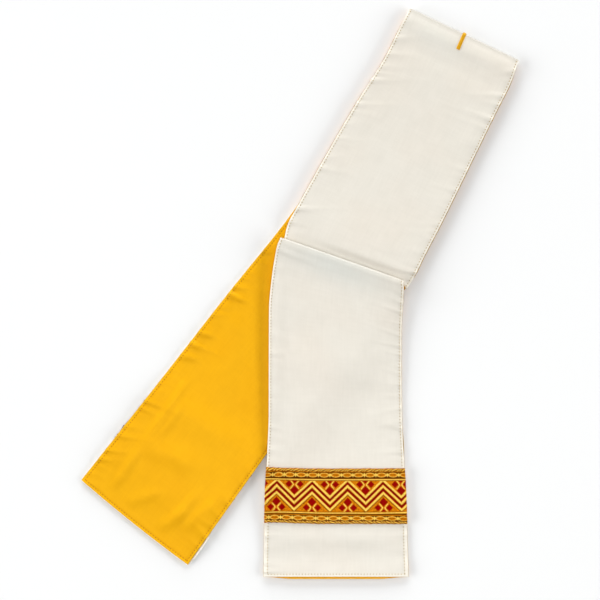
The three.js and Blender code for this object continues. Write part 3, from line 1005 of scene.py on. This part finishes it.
@dataclass
class Galloon:
    """A woven galloon: corded borders, chains and a zigzag with lozenges."""

    name: str
    node: str
    width: float = GALLOON_WIDTH
    fine: float = 0.34
    length: float = 117.5
    overhang: float = 0.004
    skew: float = 1.2
    period: float = 29.75
    first_peak: float = 9.9
    amplitude: float = 14.3

    def chart(self, u: Array, w: Array) -> dict[str, Array]:
        """The woven pattern as masks and relief.

        Args:
            u: distance along the galloon from edge a.
            w: distance down from its upper border.

        Returns:
            Masks light, red, deep and brown, and the relief in millimetres.
        """
        p = w * CHART_WIDTH / self.width
        edge = np.minimum(p, CHART_WIDTH - p)
        top = p < CHART_WIDTH / 2
        zone = smooth((edge - ZIGZAG_FROM) / 0.5)
        turn = (u - self.first_peak) / self.period
        zigzag = np.abs(2 * (turn - np.floor(turn)) - 1)
        q = p - self.amplitude * (1 - zigzag)
        light = zone * stripes(q, LIGHT_STRIPES)
        red = zone * stripes(q, RED_STRIPES)
        dark = zone * stripes(q, DEEP_STRIPES)
        shade = zone * stripes(q, SHADE_STRIPES)
        upper = (top & (q < ABOVE_ZIGZAG), 0.5, p, SIDE_LOZENGES[0])
        lower = (~top & (q > BELOW_ZIGZAG), 0.0, CHART_WIDTH - p, SIDE_LOZENGES[1])
        for inside, centre, depth, beside in (upper, lower):
            phase = turn - centre + 0.5
            c = np.abs(phase - np.floor(phase) - 0.5) * self.period
            lozenge, curl = self.lozenges(c, depth, beside)
            lozenge = lozenge * inside * zone
            curl = curl * inside * zone
            red = np.maximum(red, lozenge * (1 - curl))
            light = np.maximum(light, curl)
            shade = shade * (1 - lozenge)
        chain, gap, core = self.chain(u, edge, top)
        glint, dull, twist = self.cord(u, edge)
        light = np.clip(light + stripe(edge, *LINE) + chain + glint, 0, 1)
        rim = stripes(edge, LINE_SHADES)
        brown = np.clip(shade + rim + gap + dull, 0, 1) * (1 - light)
        brown = np.clip(brown + core * 0.5, 0, 1)
        relief = 0.9 + 0.22 * light - 0.16 * brown + 0.05 * red
        cord = np.sqrt(np.clip(1 - ((edge - CORD_MIDDLE) / CORD_RADIUS) ** 2, 0, 1))
        inside = edge < CORD_MIDDLE + CORD_RADIUS
        relief = np.where(inside, 0.5 + 0.72 * cord + 0.12 * twist, relief)
        red = red * (1 - light)
        deep = np.clip(dark, 0, 1) * red
        return {"light": light, "red": red, "brown": brown, "deep": deep, "relief": relief}

    @staticmethod
    def lozenges(c: Array, depth: Array, beside: float) -> tuple[Array, Array]:
        """The lozenges in one turn of the zigzag and the two curls on them.

        A lozenge is where the distances from its middle, each over its half
        size, add up to less than 1. The curls bend out from their waist.

        Args:
            c: distance from the turn's middle line.
            depth: distance in from the border.
            beside: depth of the two side lozenges.

        Returns:
            The lozenges' mask and the curls'.
        """
        shapes = np.zeros_like(c)
        for row in LOZENGES:
            middle = beside if row.depth is None else row.depth
            away = np.abs(c - row.off) / row.half_width + np.abs(depth - middle) / row.half_depth
            shapes = shapes + stripe(away, -1, 1, row.soft)
        waist = 1.0 + 0.62 * np.abs(depth - 13.4) ** 1.1
        curl = stripe(np.abs(c - waist), -1, 0.42) * stripe(depth, 10.2, 17.0)
        return np.clip(shapes, 0, 1), curl

    @staticmethod
    def chain(u: Array, edge: Array, top: Array) -> tuple[Array, ...]:
        """The chain of ovals and knots inside each cord.

        Args:
            u: distance along the galloon.
            edge: distance in from the nearer border.
            top: True on its upper half.

        Returns:
            The chain's mask, that of the gaps round it and of its dark cores.
        """
        phase = (u - np.where(top, *LINK_STARTS)) / LINK
        along = np.abs(phase - np.floor(phase) - 0.5) * LINK
        off = edge - np.where(top, *LINK_DEPTHS)
        ring = np.hypot(along / OVAL[0], off / OVAL[1])
        oval = stripe(ring, 0.76, 1.0, 0.1)
        knot = stripe(np.abs(along - LINK / 2) / 0.95 + np.abs(off) / 1.9, -1, 1, 0.3)
        chain = np.clip(0.8 * oval + knot, 0, 1) * stripe(np.abs(off), -1, 2.2)
        gap = stripe(np.abs(off), -1, 2.4) * smooth((ring - 1.0) / 0.1)
        core = stripe(ring, -1, 0.7, 0.15) * stripe(off, -0.45, 0.15) * (along < 2.6)
        return chain, gap, core

    @staticmethod
    def cord(u: Array, edge: Array) -> tuple[Array, ...]:
        """The twisted cords along both borders.

        Args:
            u: distance along the galloon.
            edge: distance in from the nearer border.

        Returns:
            Masks of the strands' light and dull sides, and the twist.
        """
        sway = 0.6 * np.sin(u * 0.83) + 0.5 * np.sin(u * 0.37 + 1.0)
        twist = 0.5 + 0.5 * np.sin((u + edge * 1.5 + sway) * 2 * math.pi / TWIST)
        cord = stripe(edge, -1, 2.6)
        glint = cord * smooth((twist - 0.6) / 0.2) * stripe(edge, 0.3, 2.2) * 0.9
        dull = cord * (0.1 + 0.9 * smooth((0.45 - twist) / 0.2))
        return glint, dull, twist

    def build(self, band: Band, front: bool) -> Piece:
        """Make the galloon on the face.

        Args:
            band: the band it is sewn to.
            front: True for the one in view, False for the one face down.

        Returns:
            The galloon's object.
        """
        fine = self.fine if front else HIDDEN_SPACING
        rows = int(self.width / fine)
        w = np.linspace(0, self.width, rows)
        v = np.linspace(-self.overhang, 1 + self.overhang, int(self.length / fine))
        if front:
            run = band.lower.length - GALLOON_TO_HEM - self.width + w
            points = band.lower_surface(run, v)
            points[..., 1] += self.skew * (1 - smooth(v / 0.45))[None, :]
        else:
            run = GALLOON_TO_HEM + w
            v = np.linspace(-HIDDEN_OVERHANG, 1 + HIDDEN_OVERHANG, len(v))
            points = band.back_surface(run, v)
            way = unit(points[:, 0] - points[:, 6])
            peek = HIDDEN_PEEK * bell(run - HIDDEN_PEEK_AT, HIDDEN_PEEK_WIDTH)
            fade = np.clip(1 - v * NOMINAL_WIDTH / HIDDEN_FADE, 0, 1)
            points += way[:, None] * (peek[:, None] * fade[None, :])[..., None]
        surface = Surface(points + band.shift, w, v)
        u = (v + self.overhang) * self.length
        uu, ww = np.meshgrid(u, w)
        masks = self.chart(uu, ww)
        fray = 0.5 * np.sin(uu * 1.3) + 0.35 * np.sin(uu * 2.9 + 2.0) + 0.4 * np.sin(uu * 0.31)
        base = HALF_BAND + SEAM_GAP * 0.7
        outer = surface.moved(base + masks["relief"])
        out_way = np.zeros_like(outer)
        out_way[0] = outer[0] - outer[1]
        out_way[-1] = outer[-1] - outer[-2]
        outer += out_way / (self.width / (rows - 1)) * fray[..., None] * FRAY
        inner = surface.moved(base)
        piece = shell(self.name, outer, inner, np.stack([uu, ww], axis=2) * MM)
        if not front:
            # Painted shade: by edge a the hidden galloon, where it shows past the band, is made
            # the darkest brown.
            end = smooth((0.05 - v) / 0.02)[None, :]
            masks = {k: m * (1 - end) for k, m in masks.items()} | {"brown": masks["brown"] + end}
        for mask in ("light", "red", "deep", "brown"):
            add_mask(piece, mask, masks[mask])
        return settle(piece, self.node)


@dataclass
class CentreMark:
    """A satin-stitched bar over the middle fold, stitch beside stitch."""

    length: float = 12.6
    width: float = 3.2
    thread: float = 0.52
    crown: float = 0.75

    def build(self, band: Band) -> Piece:
        """Make the bar from the side of the fold onto the face.

        Across it the height is the crown times a half ellipse. Along it each
        stitch is a small round ridge.

        Args:
            band: the band it is worked on.

        Returns:
            The bar's object.
        """
        half = self.width / 2 / MIDDLE_WIDTH
        v = np.linspace(0.5 - half, 0.5 + half, 13)
        turn = np.linspace(0.45, 1.0, 50)[:-1, None] * math.pi
        line = band.middle_fold
        x, y = line.at(v[None, :])
        reach = FOLD_RADIUS * np.sin(turn)
        rise = HALF_BAND + FOLD_RADIUS * (1 - np.cos(turn))
        rise = rise + 0 * v[None, :]
        nose = np.stack([x + line.nx * reach, y + line.ny * reach, rise], axis=2)
        run = np.arange(0, self.length, 0.09)
        points = np.concatenate([nose, band.upper_surface(run, v)]) + band.shift
        place = distances(points[:, 6])
        surface = Surface(points, place, v)
        c = (v - 0.5) / half
        dome = np.sqrt(np.clip(1 - c**2, 0, 1))[None, :] ** 0.7
        ridge = np.abs(np.sin(place * math.pi / self.thread))[:, None] ** 0.6
        end = np.minimum(smooth(place / 0.7), smooth((place[-1] - place) / 0.7))[:, None]
        height = dome * (self.crown * (0.55 + 0.45 * end) + 0.2 * ridge)
        base = HALF_BAND - 0.15
        outer = surface.moved(base + 0.1 + height)
        inner = surface.moved(base)
        uv = np.stack(np.meshgrid(c * self.width / 2, place), axis=2) * MM
        piece = shell("centre_mark_stitches", outer, inner, uv)
        return settle(piece, "centre_mark")


# ---- finishes ----
SATIN_THREADS = 9000.0  # radians of thread a metre
BRAID_THREADS = 5200.0
SATIN_RELIEF = 0.00006  # metres
BRAID_RELIEF = 0.00012
THREAD_RELIEF = 0.00008


class Nodes:
    """Short ways to add and join shader nodes in one tree."""

    def __init__(self, tree: Tree) -> None:
        """Work in the given tree."""
        self.tree = tree

    def add(self, kind: str, **values: object) -> bpy.types.Node:
        """Add a node and set its plain properties."""
        node = self.tree.nodes.new(kind)
        for name, value in values.items():
            setattr(node, name, value)
        return node

    def join(self, source: Socket, target: Socket) -> None:
        """Join two sockets."""
        self.tree.links.new(source, target)

    def put(self, value: object, target: Socket) -> None:
        """Join a socket, or set a plain value, adding a colour's alpha."""
        if isinstance(value, Socket):
            self.join(value, target)
        elif target.type == "RGBA" and len(value) == 3:
            target.default_value = (*value, 1.0)
        else:
            target.default_value = value

    def math(self, operation: str, a: object, b: object = 0.0) -> Socket:
        """A math node's result."""
        node = self.add("ShaderNodeMath", operation=operation)
        self.put(a, node.inputs[0])
        self.put(b, node.inputs[1])
        return node.outputs[0]

    def mix(self, share: object, a: object, b: object, how: str = "MIX") -> Socket:
        """A colour mix's result."""
        node = self.add("ShaderNodeMix", data_type="RGBA", blend_type=how)
        self.put(share, node.inputs[0])
        self.put(a, node.inputs[6])
        self.put(b, node.inputs[7])
        return node.outputs[2]

    def clamped(self, value: object) -> Socket:
        """A value held between 0 and 1."""
        node = self.add("ShaderNodeClamp")
        self.put(value, node.inputs[0])
        return node.outputs[0]

    def mask(self, name: str) -> Socket:
        """A mask stored on the mesh."""
        return self.add("ShaderNodeAttribute", attribute_name=name).outputs["Fac"]

    def cloth(self) -> Socket:
        """The place on the flat cloth, in metres."""
        return self.add("ShaderNodeUVMap", uv_map="cloth").outputs[0]

    def weave(self, place: object, group: Tree, threads: float) -> bpy.types.Node:
        """The shared weave at a place, with its own thread count."""
        node = self.add("ShaderNodeGroup", node_tree=group)
        self.put(place, node.inputs["Place"])
        node.inputs["Threads"].default_value = threads
        return node

    def bump(self, height: object, strength: float, distance: float) -> Socket:
        """The normal of a fine relief."""
        node = self.add("ShaderNodeBump")
        node.inputs["Strength"].default_value = strength
        node.inputs["Distance"].default_value = distance
        self.put(height, node.inputs["Height"])
        return node.outputs[0]

    def noise(self, place: object, scale: float, detail: float = 2.0) -> Socket:
        """A noise texture's value."""
        node = self.add("ShaderNodeTexNoise")
        self.put(place, node.inputs["Vector"])
        node.inputs["Scale"].default_value = scale
        node.inputs["Detail"].default_value = detail
        return node.outputs[0]

    def stretched(self, place: object, scale: tuple[float, float, float]) -> Socket:
        """A place scaled unevenly."""
        node = self.add("ShaderNodeMapping")
        self.put(place, node.inputs["Vector"])
        node.inputs["Scale"].default_value = scale
        return node.outputs[0]


def weave_group() -> Tree:
    """The shared weave: thread relief, lengthwise streaks and soft mottling.

    Inputs are the cloth's own place in metres and the thread pitch. Height is
    the warp's ridges crossed by the weft, streak a noise drawn out along the
    cloth, and mottle a slow noise.
    """
    tree = bpy.data.node_groups.new("satin_weave", "ShaderNodeTree")
    face = tree.interface
    face.new_socket("Place", in_out="INPUT", socket_type="NodeSocketVector")
    face.new_socket("Threads", in_out="INPUT", socket_type="NodeSocketFloat")
    for name in ("Height", "Streak", "Mottle"):
        face.new_socket(name, in_out="OUTPUT", socket_type="NodeSocketFloat")
    n = Nodes(tree)
    into = n.add("NodeGroupInput")
    out = n.add("NodeGroupOutput")
    split = n.add("ShaderNodeSeparateXYZ")
    n.join(into.outputs["Place"], split.inputs[0])
    warp = n.math("MULTIPLY", split.outputs[0], into.outputs["Threads"])
    weft = n.math("MULTIPLY", split.outputs[1], into.outputs["Threads"])
    warp_ridge = n.math("ABSOLUTE", n.math("SINE", warp))
    weft_ridge = n.math("ABSOLUTE", n.math("SINE", n.math("ADD", weft, warp)))
    height = n.math("ADD", warp_ridge, n.math("MULTIPLY", weft_ridge, 0.45))
    streak = n.noise(n.stretched(into.outputs["Place"], (560.0, 55.0, 1.0)), 1.0, 3.0)
    slub = n.noise(n.stretched(into.outputs["Place"], (48.0, 480.0, 1.0)), 1.0, 3.0)
    streak = n.math("ADD", n.math("MULTIPLY", streak, 0.6), n.math("MULTIPLY", slub, 0.4))
    mottle = n.noise(into.outputs["Place"], 90.0, 4.0)
    n.join(height, out.inputs["Height"])
    n.join(streak, out.inputs["Streak"])
    n.join(mottle, out.inputs["Mottle"])
    return tree


def shader(name: str) -> tuple[Material, Nodes, bpy.types.Node]:
    """A new material with its tree and its Principled node."""
    material = bpy.data.materials.new(name)
    material.use_nodes = True
    nodes = Nodes(material.node_tree)
    return material, nodes, material.node_tree.nodes["Principled BSDF"]


@dataclass(frozen=True)
class SatinFinish:
    """Plain satin: its colour, how it varies, its gloss, and painted light and shade at its edges
    and folds.
    """

    name: str
    colour: Colour
    shade: Colour
    # colour of the edge strip: lighter for the doubled cloth and partly painted light
    edge_strip_and_painted_light: Colour
    warm: Colour
    # colour of the painted edge shade along the rims
    painted_edge_shade: Colour
    gloss: Colour
    roughness: float
    specular: float
    bump: float
    texture: float
    # colour multiplied in as painted cool shade on the slopes by the folds
    painted_cool_shade: Colour = (0.915, 0.965, 1.0)
    # share of the shade colour painted on the folds as shade
    fold_thinning_and_painted_shade: float = 0.7

    def build(self, weave: Tree) -> Material:
        """Make the material.

        Args:
            weave: the shared weave group.

        Returns:
            The material.
        """
        material, n, body = shader(self.name)
        place = n.cloth()
        group = n.weave(place, weave, SATIN_THREADS)
        streak = group.outputs["Streak"]
        vary = n.math("ADD", streak, n.math("MULTIPLY", group.outputs["Mottle"], 0.7))
        vary = n.math("MULTIPLY", n.math("SUBTRACT", vary, 0.85), self.texture)
        colour = n.mix(n.math("ADD", vary, 0.5), self.colour, self.shade)
        area = n.math("MULTIPLY", n.math("SUBTRACT", n.noise(place, 17.0, 1.0), 0.42), 2.4)
        colour = n.mix(n.clamped(area), colour, self.warm, "MULTIPLY")
        # Painted cool shade on the slopes by the folds.
        colour = n.mix(n.mask("painted_cool_shade"), colour, self.painted_cool_shade, "MULTIPLY")
        # The edge strip, lighter partly for the doubled cloth and partly as painted light.
        colour = n.mix(n.mask("edge_strip_and_painted_light"), colour, self.edge_strip_and_painted_light)
        # Painted shade on the folds: a darker copy of the shade colour.
        fold_thinning_and_painted_shade = tuple(self.fold_thinning_and_painted_shade * c for c in self.shade)
        colour = n.mix(n.mask("fold"), colour, fold_thinning_and_painted_shade)
        # Painted edge shade along the rims, darkest on the lining.
        colour = n.mix(n.mask("rim"), colour, self.painted_edge_shade)
        n.join(colour, body.inputs["Base Color"])
        rough = n.math("MULTIPLY", streak, 0.12)
        n.join(n.math("ADD", rough, self.roughness - 0.06), body.inputs["Roughness"])
        body.inputs["Specular Tint"].default_value = (*self.gloss, 1.0)
        body.inputs["Specular IOR Level"].default_value = self.specular
        height = n.math("ADD", n.math("MULTIPLY", streak, 1.6), group.outputs["Height"])
        n.join(n.bump(height, self.bump, SATIN_RELIEF), body.inputs["Normal"])
        return material


@dataclass(frozen=True)
class BraidFinish:
    """The galloon's metal thread and silk, mixed by its charted masks."""

    name: str = "galloon_braid"
    ground: Colour = (0.70, 0.21, 0.003)
    light: Colour = (0.93, 0.625, 0.10)
    red: Colour = (0.29, 0.001, 0.001)
    deep: Colour = (0.15, 0.001, 0.001)
    brown: Colour = (0.10, 0.024, 0.001)

    def build(self, weave: Tree) -> Material:
        """Make the material.

        Args:
            weave: the shared weave group.

        Returns:
            The material.
        """
        material, n, body = shader(self.name)
        place = n.cloth()
        group = n.weave(place, weave, BRAID_THREADS)
        speck = n.noise(n.stretched(place, (620.0, 1300.0, 1.0)), 1.0, 2.0)
        dark = n.math("MULTIPLY", n.math("SUBTRACT", speck, 0.5), 3.4)
        colour = n.mix(n.clamped(dark), self.ground, self.brown)
        for mask in ("brown", "red", "deep", "light"):
            colour = n.mix(n.mask(mask), colour, getattr(self, mask))
        grain = n.noise(n.stretched(place, (1500.0, 900.0, 1.0)), 1.0, 1.0)
        shade = n.math("ADD", n.math("MULTIPLY", group.outputs["Height"], 0.12), 0.35)
        shade = n.math("ADD", shade, n.math("MULTIPLY", grain, 1.1))
        grey = n.add("ShaderNodeCombineColor")
        for k in range(3):
            n.join(shade, grey.inputs[k])
        colour = n.mix(1.0, colour, grey.outputs[0], "MULTIPLY")
        n.join(colour, body.inputs["Base Color"])
        n.join(n.math("MULTIPLY", n.mask("light"), 0.25), body.inputs["Metallic"])
        body.inputs["Roughness"].default_value = 0.42
        body.inputs["Specular IOR Level"].default_value = 0.05
        body.inputs["Specular Tint"].default_value = (1.0, 0.6, 0.2, 1.0)
        n.join(n.bump(group.outputs["Height"], 0.6, BRAID_RELIEF), body.inputs["Normal"])
        return material


@dataclass(frozen=True)
class ThreadFinish:
    """Sewing thread: a colour broken up by its twist."""

    name: str
    colour: Colour
    shade: Colour
    roughness: float

    def build(self) -> Material:
        """Make the material."""
        material, n, body = shader(self.name)
        place = n.add("ShaderNodeTexCoord").outputs["Object"]
        twist = n.noise(place, 2400.0, 1.0)
        slow = n.noise(place, 60.0, 1.0)
        share = n.math("MULTIPLY", n.math("ADD", twist, slow), 0.5)
        n.join(n.mix(share, self.colour, self.shade), body.inputs["Base Color"])
        body.inputs["Roughness"].default_value = self.roughness
        body.inputs["Specular IOR Level"].default_value = 0.15
        n.join(n.bump(twist, 0.5, THREAD_RELIEF), body.inputs["Normal"])
        return material


def dress(piece: Piece, material: Material) -> Piece:
    """Give a piece its one material."""
    piece.data.materials.clear()
    piece.data.materials.append(material)
    return piece


@dataclass(frozen=True)
class SoftBox:
    """A rectangular soft box that faces the middle of the floor.

    Its share is the light it gives a white floor there, so that the shares of
    all lights and the sky add up to the exposure.
    """

    name: str
    bearing: float
    elevation: float
    distance: float
    width: float
    height: float
    share: float
    colour: Colour

    def build(self) -> None:
        """Make the light: its power follows from its share and distance."""
        rise = math.radians(self.elevation)
        turn = math.radians(self.bearing)
        flat = math.cos(rise)
        way = Vector((flat * math.sin(turn), flat * math.cos(turn), math.sin(rise)))
        data = bpy.data.lights.new(self.name, "AREA")
        data.shape = "RECTANGLE"
        data.size = self.width
        data.size_y = self.height
        data.energy = self.share * (math.pi * self.distance) ** 2 / math.sin(rise)
        data.color = self.colour
        light = bpy.data.objects.new(self.name, data)
        light.location = way * self.distance
        light.rotation_mode = "QUATERNION"
        light.rotation_quaternion = (-way).to_track_quat("-Z", "Y")
        bpy.context.scene.collection.objects.link(light)


# Bearing is clockwise from +Y. Sizes and distances are metres.
SOFT_BOXES = (
    SoftBox("far_box", 0.0, 15.5, 9.0, 10.0, 4.8, 0.34, (0.975, 0.99, 1.0)),
    SoftBox("left_box", -97.0, 18.0, 6.0, 6.0, 2.7, 0.31, (0.975, 0.99, 1.0)),
    SoftBox("right_box", 97.0, 17.5, 6.0, 6.0, 2.9, 0.26, (0.975, 0.99, 1.0)),
    SoftBox("overhead_box", 180.0, 80.0, 3.0, 1.4, 1.4, 0.33, (1.0, 0.985, 0.955)),
)


@dataclass
class Studio:
    """Floor, lights and the camera straight above."""

    field_of_view: float = 504.0
    lens: float = 90.0
    sensor: float = 36.0
    middle: tuple[float, float] = (-0.17, -5.46)
    top: float = 3.0
    sky: float = 0.07

    def build(self, shift: Array) -> None:
        """Make the floor, the lights and the camera.

        Args:
            shift: from the tables' places to the frame's.
        """
        self.floor()
        self.lights()
        self.camera(shift)

    def floor(self) -> None:
        """A plain pale floor under the cloth."""
        half = 4.0
        points = np.array([[-half, -half, 0], [half, -half, 0], [half, half, 0], [-half, half, 0]])
        points[:, 2] = -0.00005
        floor = mesh_object("floor", points, np.array([[0, 1, 2, 3]]))
        material, n, body = shader("pale_floor")
        place = n.add("ShaderNodeTexCoord").outputs["Object"]
        colour = n.mix(n.noise(place, 3.0), (0.892, 0.892, 0.892), (0.906, 0.906, 0.906))
        n.join(colour, body.inputs["Base Color"])
        body.inputs["Roughness"].default_value = 0.9
        body.inputs["Specular IOR Level"].default_value = 0.0
        dress(floor, material)

    def lights(self) -> None:
        """Tall soft boxes on three sides, one overhead and a faint sky."""
        world = bpy.data.worlds.new("studio")
        bpy.context.scene.world = world
        world.use_nodes = True
        back = world.node_tree.nodes["Background"]
        back.inputs[0].default_value = (1.0, 1.0, 1.0, 1.0)
        back.inputs[1].default_value = self.sky
        for box in SOFT_BOXES:
            box.build()
        bpy.context.scene.view_settings.view_transform = "Standard"

    def camera(self, shift: Array) -> None:
        """A long lens straight above the middle of the picture."""
        data = bpy.data.cameras.new("overhead_camera")
        data.lens = self.lens
        data.sensor_width = self.sensor
        data.clip_start = 0.05
        data.clip_end = 20.0
        camera = bpy.data.objects.new("overhead_camera", data)
        height = self.field_of_view * self.lens / self.sensor + self.top
        x, y = self.middle[0] + shift[0], self.middle[1] + shift[1]
        camera.location = (x * MM, y * MM, height * MM)
        bpy.context.scene.collection.objects.link(camera)
        bpy.context.scene.camera = camera


FACE_SATIN = SatinFinish(
    "face_satin",
    colour=(0.793, 0.750, 0.668),
    shade=(0.742, 0.700, 0.618),
    edge_strip_and_painted_light=(0.885, 0.835, 0.73),
    warm=(1.0, 0.972, 0.955),
    painted_edge_shade=(0.86, 0.81, 0.70),
    gloss=(1.0, 1.0, 1.0),
    roughness=0.38,
    specular=0.5,
    bump=0.3,
    texture=1.7,
)
LINING_SATIN = SatinFinish(
    "lining_satin",
    colour=(0.895, 0.45, 0.007),
    shade=(0.83, 0.395, 0.005),
    edge_strip_and_painted_light=(0.90, 0.462, 0.006),
    warm=(0.985, 0.95, 0.9),
    painted_edge_shade=(0.46, 0.29, 0.06),
    gloss=(1.0, 0.60, 0.08),
    roughness=0.38,
    specular=0.45,
    bump=0.3,
    texture=1.4,
    fold_thinning_and_painted_shade=0.9,
)
FACE_THREAD = ThreadFinish("face_thread", (0.36, 0.26, 0.11), (0.50, 0.38, 0.19), 0.6)
LINING_THREAD = ThreadFinish("lining_thread", (0.47, 0.135, 0.002), (0.60, 0.205, 0.003), 0.6)
GOLD_THREAD = ThreadFinish("gold_thread", (0.76, 0.41, 0.006), (0.58, 0.28, 0.004), 0.4)

# Lengths of edge where the lining shows past the face, or the face past it.
LINING_PEEKS = (
    Peek(Edge.A, 503.0, 1010.0, 0.15),
    Peek(Edge.B, 503.0, 1010.0, 0.2),
    Peek(Edge.B, 510.0, 714.0, 0.35),
    Peek(Edge.B, 706.0, 738.0, -2.0, 5.0),
    Peek(Edge.A, 510.0, 560.0, 0.15),
    Peek(Edge.A, 575.0, 700.0, 0.15),
    Peek(Edge.B, 872.0, 902.0, 0.4),
    Peek(Edge.HEM, 0.5, 109.5, 1.8, 22.0),
)
FACE_PEEKS = (
    Peek(Edge.A, -20.0, 496.0, -0.6),
    Peek(Edge.B, -20.0, 496.0, -0.6),
    Peek(Edge.END, -20.0, 130.0, -0.6),
    Peek(Edge.B, -8.0, 42.0, 2.3, 17.0),
)


def triangles(piece: Piece) -> int:
    """Number of triangles in a piece of four-sided faces."""
    return 2 * len(piece.data.polygons)


def main() -> None:
    """Build the maniple and the studio in order."""
    logging.basicConfig(level=logging.INFO, format="%(message)s")
    weave = weave_group()
    band = Band()
    surface = band.surface()
    face_panel = Panel("face_cloth", "face", "face_satin", Side.FACE, FACE_GROOVE, FACE_PEEKS)
    face = dress(face_panel.build(surface), FACE_SATIN.build(weave))
    lining_panel = Panel(
        "lining_cloth", "lining", "lining_satin", Side.LINING, LINING_GROOVE, LINING_PEEKS
    )
    lining = dress(lining_panel.build(surface), LINING_SATIN.build(weave))
    face_sewing = stitch_lines(surface, face_panel, "face_topstitching")
    dress(face_sewing, FACE_THREAD.build())
    lining_sewing = stitch_lines(surface, lining_panel, "lining_topstitching")
    dress(lining_sewing, LINING_THREAD.build())
    braid = BraidFinish().build(weave)
    front = dress(Galloon("galloon_front_braid", "galloon_front").build(band, True), braid)
    back = dress(Galloon("galloon_back_braid", "galloon_back").build(band, False), braid)
    mark = dress(CentreMark().build(band), GOLD_THREAD.build())
    Studio().build(band.shift)
    for piece in (face, lining, face_sewing, lining_sewing, front, back, mark):
        LOG.info("%s: %d triangles", piece.name, triangles(piece))
    LOG.info("band length along its middle: %.1f mm", surface.run[-1])


if __name__ == "__main__":
    main()
